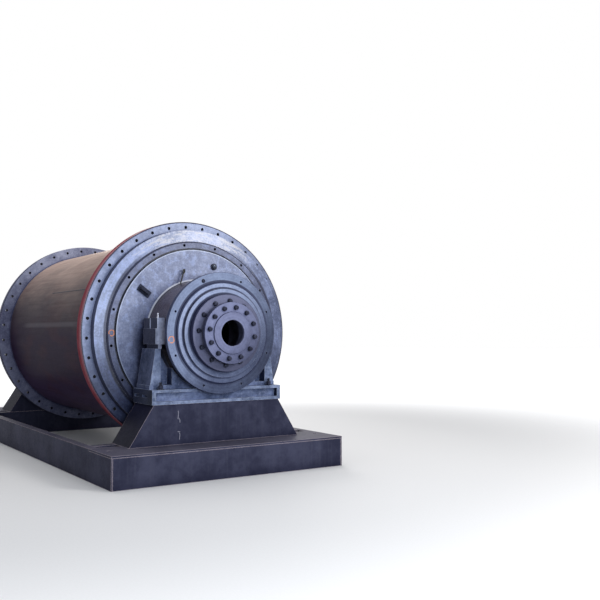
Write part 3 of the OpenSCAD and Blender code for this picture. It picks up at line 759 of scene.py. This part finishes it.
def frame_paint(name, deep, light, edge, dust, flank_shade=(1.0, 1.0, 1.0)):
    """Slate-black paint on plate: faint runs, pale edges of rubbed paint and painted highlight,
    dust on top, painted shade on the side faces and in the corners.
    """
    look = Finish(name, 0.9, 0.010, 0.16, specular_ior_level=0.04, specular_tint=BLUE)
    look.tones(look.clouds, deep, light)
    look.lay((0.070, 0.072, 0.105), 0.30, look.group("runs")["Runs"])
    # A tint on the faces that look to either side: painted shade
    look.tint(flank_shade, 1.0, sideways(look))
    look.lay(dust, 0.80, look.group("dust")["Dust"])
    # A dark tint in the corners: painted shade, with some dirt
    look.tint((0.25, 0.24, 0.36), 0.8, look.corner)
    # Pale edges, all round and in worn patches: rubbed paint and a painted highlight along the
    # edges
    look.lay(edge, 0.55, look.edge)
    look.lay(edge, 0.50, look.worn)
    return look.close(0.42, 0.18, 0.25, 0.0015)


def worn_casting(name, deep, light, speckle, flank_shade, shade=0.22, corner_shade_and_dirt=0.62):
    """Thin grey-blue paint on a cast piece, speckled and rubbed, with painted shade in its pockets
    and corners and on the faces that look to either side.
    """
    look = Finish(name, 2.2, 0.006, shade, specular_ior_level=0.10, specular_tint=BLUE)
    graph = look.graph
    look.tones(look.clouds, deep, light)
    flecks = graph.ramp(graph.noise(look.place, 34.0, 5.0, 0.75), 0.50, 0.66)
    look.lay(speckle, 0.55, flecks)
    # A blue-grey tint in the pockets and corners: painted shade, with some dirt
    look.tint((0.40, 0.44, 0.62), corner_shade_and_dirt, look.corner)
    # A tint on the faces that look to either side: painted shade
    look.tint(flank_shade, 1.0, sideways(look))
    # Pale worn edges, which also stand for a painted highlight along the edges
    look.lay((0.50, 0.54, 0.66), 0.65, look.worn)
    return look.close(0.40, 0.18, 0.5, 0.003)


def plain_steel(name, deep, light, metallic, shine, level, colour):
    """Steel with a skin of oil and scale, brighter where it is rubbed and as a painted edge
    highlight, with painted shade in its corners.
    """
    reflection = {"specular_ior_level": level, "specular_tint": colour}
    look = Finish(name, 6.0, 0.0015, 0.03, metallic=metallic, **reflection)
    look.tones(look.clouds, deep, light)
    # A dark tint in the corners: painted shade
    look.tint((0.25, 0.25, 0.34), 0.7, look.corner)
    # Pale worn edges, which also stand for a painted highlight along the edges
    look.lay((0.46, 0.48, 0.55), 0.22, look.worn)
    return look.close(shine, 0.16, 0.2, 0.0006)


def chalk(name, colour):
    """Dry chalk that has skipped over the grain of the paint."""
    look = Finish(name, 1.0, 0.001, 0.01, specular_ior_level=0.1)
    grain = look.graph.noise(look.place, 300.0, 3.0, 0.7)
    look.tones(look.graph.ramp(grain, 0.32, 0.52), shaded(colour, 0.6), colour)
    return look.close(0.85, 0.1, 0.4, 0.0008, grain)


def floor_paint(name, colour, start, end):
    """Pale floor that brightens to white with the distance, to the eye and in reflections."""
    material = bpy.data.materials.new(name)
    material.use_nodes = True
    graph = Graph(material.node_tree)
    sockets = material.node_tree.nodes["Principled BSDF"].inputs
    here = graph.node("TexCoord").outputs["Object"]
    distance = graph.vectors("LENGTH", here)["Value"]
    seen = seen_rays(graph)
    glow = graph.times(graph.ramp(distance, start, end, 0.0, 0.72), seen)
    specks = graph.ramp(graph.noise(here, 60.0, 4.0, 0.6), 0.3, 0.7)
    pale = graph.mix(specks, shaded(colour, 0.97), colour)
    graph.feed(sockets["Base Color"], graph.mix(seen, shaded(colour, 0.42), pale))
    graph.feed(sockets["Emission Color"], graph.mix(glow, BLACK, WHITE))
    graph.feed(sockets["Emission Strength"], 1.0)
    graph.feed(sockets["Roughness"], 0.75)
    return material


def seen_rays(graph):
    """One for camera, glossy and transmission rays, and nought for the rest."""
    rays = graph.node("LightPath").outputs
    seen = graph.math("MAXIMUM", rays["Is Camera Ray"], rays["Is Transmission Ray"])
    return graph.math("MAXIMUM", seen, rays["Is Glossy Ray"])


# Settings


def setting(name, description, default, kind=FloatProperty, **limits):
    """Value that a user can change."""
    return kind(name=name, description=description, default=default, **limits)


def tone(name, description, default):
    """Colour that a user can change."""
    limits = {"subtype": "COLOR", "size": 3, "min": 0, "max": 1}
    return setting(name, description, default, FloatVectorProperty, **limits)


class MillColours(bpy.types.PropertyGroup):
    """Main colours of the mill's finishes, linear"""

    journal: tone("Journal", "Oily brown of the journals", (0.048, 0.040, 0.056))
    # The shell's low, middle and high tones follow which way it faces: painted shade below, and at
    # the top dust with a painted reflection
    shell_low: tone("Shell, low", "Shell paint where it looks down", (0.024, 0.014, 0.036))
    shell_middle: tone("Shell, middle", "Shell paint at the side", (0.092, 0.076, 0.086))
    shell_high: tone("Shell, high", "Dusty shell paint at the top", (0.520, 0.385, 0.330))
    primer: tone("Primer", "Red primer on the rims", (0.180, 0.020, 0.034))
    primer_faded: tone("Primer, faded", "Faded primer on the rims", (0.250, 0.055, 0.078))
    # Frame edges: rubbed paint and a painted highlight along the edges
    frame_edge: tone("Frame, edges", "Rubbed edges of the frame", (0.430, 0.365, 0.400))
    frame_dust: tone("Frame, dust", "Dust on top of the frame", (0.115, 0.108, 0.140))
    chalk: tone("Chalk", "Orange of the ring marks", (0.760, 0.300, 0.160))


# Paints that mix two tones: the pieces they are on, the darker tone and the lighter one
# On the drum's ends part of the mix of the two tones follows the upper left: painted light
PAIRS = {
    "head": ("heads", (0.060, 0.078, 0.155), (0.395, 0.460, 0.690)),
    "trunnion": ("trunnions", (0.064, 0.084, 0.180), (0.355, 0.395, 0.560)),
    "collar": ("collars", (0.050, 0.065, 0.130), (0.275, 0.335, 0.505)),
    "cover": ("end covers", (0.075, 0.096, 0.185), (0.390, 0.455, 0.660)),
    "spool": ("feed spools", (0.095, 0.100, 0.170), (0.180, 0.190, 0.300)),
    "feed_flange": ("feed flanges", (0.090, 0.098, 0.175), (0.240, 0.262, 0.430)),
    "shell_flange": ("shell flanges", (0.120, 0.132, 0.220), (0.340, 0.370, 0.510)),
    "frame": ("frame", (0.026, 0.027, 0.050), (0.056, 0.058, 0.096)),
    "housing": ("housings", (0.080, 0.102, 0.170), (0.265, 0.320, 0.480)),
    "block": ("side blocks", (0.260, 0.285, 0.400), (0.580, 0.620, 0.800)),
}
for key, (pieces, *shades) in PAIRS.items():
    for shade, share, colour in zip(("deep", "light"), ("Darker", "Lighter"), shades):
        MillColours.__annotations__[f"{key}_{shade}"] = tone(
            f"{pieces.capitalize()}, {shade}", f"{share} tone of the {pieces}", colour
        )


class MillBolts(bpy.types.PropertyGroup):
    """Sizes of the bolts"""

    spool_head: setting("Spool bolt", "Width across its flats", 0.038, unit="LENGTH")
    spool_height: setting("Spool bolt height", "Height of its head", 0.024, unit="LENGTH")
    spool_count: setting("Spool bolts", "Bolts in each flange of a spool", 12, IntProperty)
    base_turn: setting("Base turn", "Turn of the base flange's bolts, degrees", 4.0)
    feed_turn: setting("Feed turn", "Turn of the feed flange's bolts, degrees", 8.6)
    foot_nut: setting("Foot nut", "Width across flats at the housing's foot", 0.046, unit="LENGTH")


class MillMarks(bpy.types.PropertyGroup):
    """Welds and chalk marks"""

    weld: setting("Weld", "Half width of a weld bead", 0.007, unit="LENGTH")
    seam_turn: setting("Seam turn", "Turn of the shell's long seam, degrees", -63.6)
    chalk_width: setting("Chalk", "Width of a chalk line", 0.011, unit="LENGTH")


class MillStage(bpy.types.PropertyGroup):
    """Camera, lights and floor"""

    camera_place: setting(
        "Camera", "Place of the camera", (9.700, -3.963, 1.420), FloatVectorProperty,
        subtype="TRANSLATION",
    )
    camera_yaw: setting("Yaw", "Turn of the camera from the drum's axis", 0.594, subtype="ANGLE")
    camera_pitch: setting("Pitch", "Tilt of the camera above level", 0.039, subtype="ANGLE")
    lens: setting("Lens", "Focal length, in millimetres", 48.82)
    floor_radius: setting("Floor", "Radius of the floor", 60.0, unit="LENGTH")
    world_strength: setting("World", "Strength of the room's soft light", 0.38)


# Steels: material, darker and lighter tone, metal, roughness, level and tint of its reflections
STEELS = {
    "black": ("black_steel", (0.010, 0.011, 0.022), (0.034, 0.036, 0.058), 0.0, 0.40, 0.15, BLUE),
    "eyebolt": ("eye_steel", (0.018, 0.018, 0.014), (0.060, 0.058, 0.040), 0.0, 0.42, 0.12, WHITE),
    "bolt": ("oiled_bolts", (0.008, 0.008, 0.018), (0.038, 0.040, 0.064), 0.0, 0.24, 0.14, BLUE),
    "plug": ("oiled_plug", (0.006, 0.006, 0.012), (0.020, 0.020, 0.032), 0.0, 0.16, 0.5, BLUE),
    "bright": ("bright_steel", (0.30, 0.31, 0.36), (0.55, 0.56, 0.60), 0.9, 0.22, 0.5, WHITE),
    "liner": (
        "bearing_metal_oiled", (0.022, 0.021, 0.030), (0.080, 0.074, 0.085), 0.5, 0.34, 0.5, WHITE
    ),
}
MATERIALS = {}


class MILL_OT_finishes(bpy.types.Operator):
    """Make the materials and put them on the CAD pieces"""

    bl_idname = "mill.finishes"
    bl_label = "Finishes"

    def execute(self, context):
        make_groups()
        colours = context.scene.mill_colours

        def pair(key):
            """Deep and light tone of a finish."""
            return getattr(colours, key + "_deep"), getattr(colours, key + "_light")

        plate = *pair("frame"), colours.frame_edge, colours.frame_dust
        cast = *pair("housing"), (0.30, 0.34, 0.45)
        MATERIALS.update(
            head=head_paint(*pair("head"), colours.primer_faded),
            trunnion=trunnion_paint(*pair("trunnion"), colours.journal),
            collar=machined_paint("collar_paint", *pair("collar"), 0.34),
            cover=machined_paint("cover_paint", *pair("cover"), 0.34),
            spool=machined_paint("spool_paint", *pair("spool"), 0.38),
            feed_flange=machined_paint("mouth_paint", *pair("feed_flange"), 0.36),
            shell=shell_paint(colours.shell_low, colours.shell_middle, colours.shell_high),
            shell_flange=flange_paint(*pair("shell_flange"), colours.primer, colours.primer_faded),
            frame=frame_paint("frame_paint_worn", *plate),
            # The dark tints given below for the faces that look to either side are painted shade
            housing=worn_casting("housing_paint_worn", *cast, flank_shade=(0.36, 0.36, 0.42)),
            block=worn_casting(
                "block_scale", *pair("block"), (0.60, 0.62, 0.70), (0.10, 0.10, 0.125), 0.02, 0.3
            ),
            soleplate=worn_casting("sole_paint_worn", *cast, flank_shade=(0.09, 0.095, 0.13)),
            pedestal=frame_paint("pedestal_paint", *plate, flank_shade=(0.20, 0.20, 0.30)),
            **{key: plain_steel(*row) for key, row in STEELS.items()},
            orange=chalk("orange_chalk", colours.chalk),
            white=chalk("white_chalk", (0.26, 0.26, 0.32)),
        )
        MATERIALS["lifting_lug"] = MATERIALS["black"]
        # A node takes the first material whose key ends its name, and the base frame has the rest
        for node, piece in frame["nodes"].items():
            kind = next((kind for kind in MATERIALS if node.endswith(kind)), "frame")
            for holder in piece.material_slots:
                holder.material = MATERIALS[kind]
        return {"FINISHED"}


class MILL_OT_spool_bolts(bpy.types.Operator):
    """Bolt the feed spools and feed flanges"""

    bl_idname = "mill.spool_bolts"
    bl_label = "Spool bolts"

    def execute(self, context):
        size = context.scene.mill_bolts
        head = bolt(size.spool_head, size.spool_height, size.spool_head * WASHER)
        nut = bolt(size.spool_head, size.spool_height * 0.9, stud=0.012)
        base_turns = spaced(size.spool_count, size.base_turn)
        feed_turns = spaced(size.spool_count, size.feed_turn)
        base_circle = radius_of("near_spool") - BASE_EDGE
        feed_circle = radius_of("near_feed_flange") - FEED_EDGE
        base_face, feed_joint = reach("near_end_cover") + BASE_FLANGE, reach("near_spool")
        for end in ENDS:
            base = on_face(end, base_turns, base_circle, base_face)
            feed = on_face(end, feed_turns, feed_circle, feed_joint + FEED_FLANGE)
            back, radial, outward = on_face(end, feed_turns, feed_circle, feed_joint - FEED_FLANGE)
            through = [copies(head, *feed), copies(nut, back, radial, -outward)]
            make_piece(end + "_base_bolts", [copies(head, *base)], "bolt", "drum")
            make_piece(end + "_feed_bolts", through, "bolt", "drum")
        return {"FINISHED"}


class MILL_OT_face_fittings(bpy.types.Operator):
    """Fit the collar screws and the plug heads on the drum's ends"""

    bl_idname = "mill.face_fittings"
    bl_label = "Face fittings"

    def execute(self, context):
        screw = bolt(width=0.026, height=0.012, washer=0.040)
        head = bolt(width=0.042, height=0.014)
        screw_circle, screw_turn = radius_of("near_collar") - COLLAR_EDGE, -23.0
        low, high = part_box("near_round_plug")
        _, across, up = (np.array(low) + np.array(high)) / 2 - [0, 0, AXIS]
        plug_circle, plug_turn = math.hypot(across, up), math.degrees(math.atan2(across, up))
        for end in ENDS:
            screws = copies(screw, *on_face(end, screw_turn, screw_circle, reach("near_collar")))
            heads = copies(head, *on_face(end, plug_turn, plug_circle, reach("near_round_plug")))
            make_piece(end + "_collar_screw", [screws], "bolt", "drum")
            make_piece(end + "_plug_head", [heads], "plug", "drum")
        return {"FINISHED"}


class MILL_OT_bearing_fittings(bpy.types.Operator):
    """Fit foot nuts and grease nipples to the bearings"""

    bl_idname = "mill.bearing_fittings"
    bl_label = "Bearing fittings"

    def execute(self, context):
        width = context.scene.mill_bolts.foot_nut
        nut = bolt(width, height=width * 0.8, washer=width * 1.7, stud=0.030)
        radii = [0.016, 0.016, 0.009, 0.009, 0.0065, 0.0065, 0.010, 0.010, 0.007]
        heights = [0.0, 0.010, 0.012, 0.026, 0.028, 0.034, 0.037, 0.045, 0.049]
        nipple = turned(list(zip(radii, heights)), 24)
        sole_top, block_top = reach("near_soleplate", 2), reach("near_left_block", 2)
        front, back = reach("near_housing"), reach("near_housing", 0, LOW)
        column_in = reach("near_housing", 1) - COLUMN
        block_in, block_out = (abs(reach("near_left_block", 1, side)) for side in (HIGH, LOW))
        # Places along the drum, to the side and up: two nuts at a column, a nipple on a side block
        ahead = front + 0.048, column_in + 0.020, sole_top
        behind = back + 0.055, column_in - 0.058, sole_top + HOUSING_FOOT
        on_block = reach("near_left_block") - 0.060, (block_in + block_out) / 2, block_top
        for end, sign in ENDS.items():
            for label, shape, spots, kind, slot in (
                ("_foot_nuts", nut, (ahead, behind), "black", "housing_paint"),
                ("_grease_nipples", nipple, (on_block,), "bright", "block_steel"),
            ):
                at = np.array([[sign * x, side * y, z] for x, y, z in spots for side in (-1, 1)])
                made = copies(shape, at, [1.0, 0, 0], [0, 0, 1.0])
                make_piece(end + label, [made], kind, "stand")
        return {"FINISHED"}


class MILL_OT_welds(bpy.types.Operator):
    """Lay the weld beads of the shell and round the pedestals' feet"""

    bl_idname = "mill.welds"
    bl_label = "Welds"

    def execute(self, context):
        marks = context.scene.mill_marks
        size, ripple, step, sharp = marks.weld, 0.014, 0.0047, 60
        shell_r, shell_end = radius_of("drum_shell"), reach("near_shell_flange", 0, LOW)
        turns = spaced(int(2 * np.pi * shell_r / step), 0)
        for end in ENDS:
            path, radial, outward = on_face(end, turns, shell_r, shell_end)
            beads = [bead(path, radial - outward, size, ripple, closed=True)]
            make_piece(end + "_shell_weld", beads, "shell_flange", "drum", sharp)
        turn, behind_middle = math.radians(marks.seam_turn), 0.08
        up = np.array([0, math.sin(turn), math.cos(turn)])
        at = np.array([0, 0, AXIS]) + shell_r * up
        seam = line(at - [behind_middle, 0, 0], at + [shell_end, 0, 0], step)
        beads = [bead(seam, up, size * 0.7, ripple)]
        make_piece("shell_seam", beads, "black", "drum", sharp)
        front, half = reach("near_pedestal"), reach("near_pedestal", 1)
        back, top = reach("near_deck", 0, LOW), reach("near_deck", 2)
        for end, sign in ENDS.items():
            runs = [
                line([sign * x, y, top], [sign * front, side, top], step)
                for x, y, side in ((front, -half, half), (back, -half, -half), (back, half, half))
            ]
            beads = [bead(run, [0, 0, 1.0], size, ripple) for run in runs]
            make_piece(end + "_pedestal_weld", beads, "frame", "stand", sharp)
        return {"FINISHED"}


CHALK_THICK = 0.0006  # half thickness of a chalk line
# Chalk rings: the node whose rim their middle is set in from, how far, their turn, the node whose
# front they lie on, how far out of it, and their radius
CHALK_RINGS = (
    ("near_trunnion", 0.051, -90.0, "near_head", BAND_OUT, 0.028),
    ("near_collar", 0.049, -96.6, "near_collar", 0.0, 0.029),
)
# Chalk strokes on the near pedestal: place across and height, at the start and at the end
CHALK_STROKES = (
    ((-0.452, 0.643), (-0.449, 0.560)),
    ((-0.440, 0.566), (-0.428, 0.526)),
    ((-0.455, 0.438), (-0.425, 0.434)),
    ((-0.436, 0.426), (-0.432, 0.360)),
)


class MILL_OT_chalk(bpy.types.Operator):
    """Draw the chalk rings round two holes and the chalk strokes on the near pedestal"""

    bl_idname = "mill.chalk"
    bl_label = "Chalk marks"

    def ring(self, turn, radius, out, size, width):
        """Hand-drawn ring: its radius wanders, and its ends leave a small gap."""
        (middle,), (radial,), (outward,) = on_face("near", turn, radius, out)
        across = np.cross(outward, radial)
        angle = np.linspace(0.9, 0.9 + 2 * np.pi * 0.93, 90)
        wander = size * (1 + 0.08 * np.sin(angle * 1.5) + 0.05 * np.sin(angle * 3.2 + 1))
        spokes = np.cos(angle)[:, None] * radial + np.sin(angle)[:, None] * across
        path = middle + wander[:, None] * spokes
        thick = width / 2 * (0.85 + 0.20 * np.sin(angle * 5.1))
        return swept(path, outward, thick, CHALK_THICK)

    def execute(self, context):
        width = context.scene.mill_marks.chalk_width
        rings = [
            self.ring(turn, radius_of(rim) - inset, reach(face) + out, size, width)
            for rim, inset, turn, face, out, size in CHALK_RINGS
        ]
        make_piece("chalk_rings", rings, "orange", "drum")
        front = reach("near_pedestal")
        strokes = []
        for start, end in CHALK_STROKES:
            path = line([front, *start], [front, *end], 0.004)
            path[:, 1] += 0.003 * np.sin(np.linspace(0, 5, len(path)))
            strokes.append(swept(path, [1.0, 0, 0], width * 0.3, CHALK_THICK))
        make_piece("chalk_strokes", strokes, "white", "stand")
        return {"FINISHED"}


# Lamps: name, place, the point it faces, width and height, watts, colour
LAMPS = (
    ("key", (9.9, 4.5, 5.2), (1.8, 0, 1.5), (2.8, 2.2), 460, (1.0, 0.98, 0.95)),
    ("low_window", (11.5, -1.3, 2.2), (1.8, -0.5, 1.4), (5.2, 2.2), 400, (0.82, 0.90, 1.0)),
    ("overhead", (-0.5, 0.5, 6.5), (-0.5, 0.5, 0.0), (6.0, 5.0), 220, (1.0, 0.97, 0.93)),
    ("fill", (3.0, -9.0, 3.0), (0.5, 0, 1.3), (6.0, 4.0), 60, (0.95, 0.97, 1.0)),
    ("back", (-9.0, 5.0, 4.5), (-0.5, 0, 1.4), (5.0, 4.0), 350, (1.0, 0.98, 0.95)),
)
FLOOR_COLOUR = (0.74, 0.74, 0.75)
ROOM_LIGHT = (0.90, 0.94, 1.0)


def area_light(name, place, aim, size, power, colour):
    """Soft rectangular lamp that faces a point and isn't seen itself."""
    data = bpy.data.lights.new(name, "AREA")
    data.shape = "RECTANGLE"
    data.size, data.size_y = size
    data.energy = power
    data.color = colour
    lamp = in_scene(name, data)
    x, y, z = np.array(place) - np.array(aim)
    lamp.location = place
    lamp.rotation_euler = (math.atan2(math.hypot(x, y), z), 0, math.atan2(x, -y))
    lamp.visible_camera = False


class MILL_OT_stage(bpy.types.Operator):
    """Set the camera, the lights and the pale floor"""

    bl_idname = "mill.stage"
    bl_label = "Stage"

    def execute(self, context):
        stage = context.scene.mill_stage
        data = bpy.data.cameras.new("camera")
        data.sensor_width = 36.0
        data.lens = stage.lens
        camera = in_scene("camera", data)
        camera.location = stage.camera_place
        level = math.pi / 2
        camera.rotation_euler = (level + stage.camera_pitch, 0, level - stage.camera_yaw)
        context.scene.camera = camera
        self.floor(stage.floor_radius)
        for lamp in LAMPS:
            area_light(*lamp)
        self.sky(context, stage.world_strength)
        context.scene.view_settings.view_transform = "Standard"
        return {"FINISHED"}

    def floor(self, radius, around=96):
        """Disc under the mill: one face with the points radius (cos a, sin a)."""
        angle = angles(around)
        rim = np.stack([np.cos(angle), np.sin(angle), np.zeros(around)], 1) * radius
        mesh = bpy.data.meshes.new("floor")
        mesh.from_pydata(rim.tolist(), [], [list(range(around))])
        mesh.materials.append(floor_paint("floor_paint", FLOOR_COLOUR, 4.5, 10.0))
        in_scene("floor", mesh)

    def sky(self, context, strength):
        """White to the eye and in reflections, softer as light."""
        world = bpy.data.worlds.new("room")
        world.use_nodes = True
        context.scene.world = world
        graph = Graph(world.node_tree)
        back = world.node_tree.nodes["Background"]
        seen = seen_rays(graph)
        graph.feed(back.inputs["Color"], graph.mix(seen, ROOM_LIGHT, WHITE))
        graph.feed(back.inputs["Strength"], graph.ramp(seen, 0.0, 1.0, strength, 1.0))


class MILL_PT_panel(bpy.types.Panel):
    """Lists the steps that dress the mill"""

    bl_label = "Mill"
    bl_idname = "MILL_PT_panel"
    bl_space_type = "VIEW_3D"
    bl_region_type = "UI"
    bl_category = "Mill"

    def draw(self, context):
        for step in STEPS:
            self.layout.operator(step.bl_idname)
        for settings in SETTINGS:
            group = getattr(context.scene, settings)
            box = self.layout.box()
            for label in group.bl_rna.properties.keys():
                if label not in {"rna_type", "name"}:
                    box.prop(group, label)


SETTINGS = {
    "mill_colours": MillColours,
    "mill_bolts": MillBolts,
    "mill_marks": MillMarks,
    "mill_stage": MillStage,
}
STEPS = (
    MILL_OT_stage,
    MILL_OT_finishes,
    MILL_OT_spool_bolts,
    MILL_OT_face_fittings,
    MILL_OT_bearing_fittings,
    MILL_OT_welds,
    MILL_OT_chalk,
)
CLASSES = (*SETTINGS.values(), *STEPS, MILL_PT_panel)


def register():
    for kind in CLASSES:
        bpy.utils.register_class(kind)
    for label, kind in SETTINGS.items():
        setattr(bpy.types.Scene, label, PointerProperty(type=kind))


def unregister():
    for label in SETTINGS:
        delattr(bpy.types.Scene, label)
    for kind in reversed(CLASSES):
        bpy.utils.unregister_class(kind)


def main():
    register()
    bpy.ops.mill.stage()
    bpy.ops.mill.finishes()
    bpy.ops.mill.spool_bolts()
    bpy.ops.mill.face_fittings()
    bpy.ops.mill.bearing_fittings()
    bpy.ops.mill.welds()
    bpy.ops.mill.chalk()


if __name__ == "__main__":
    main()
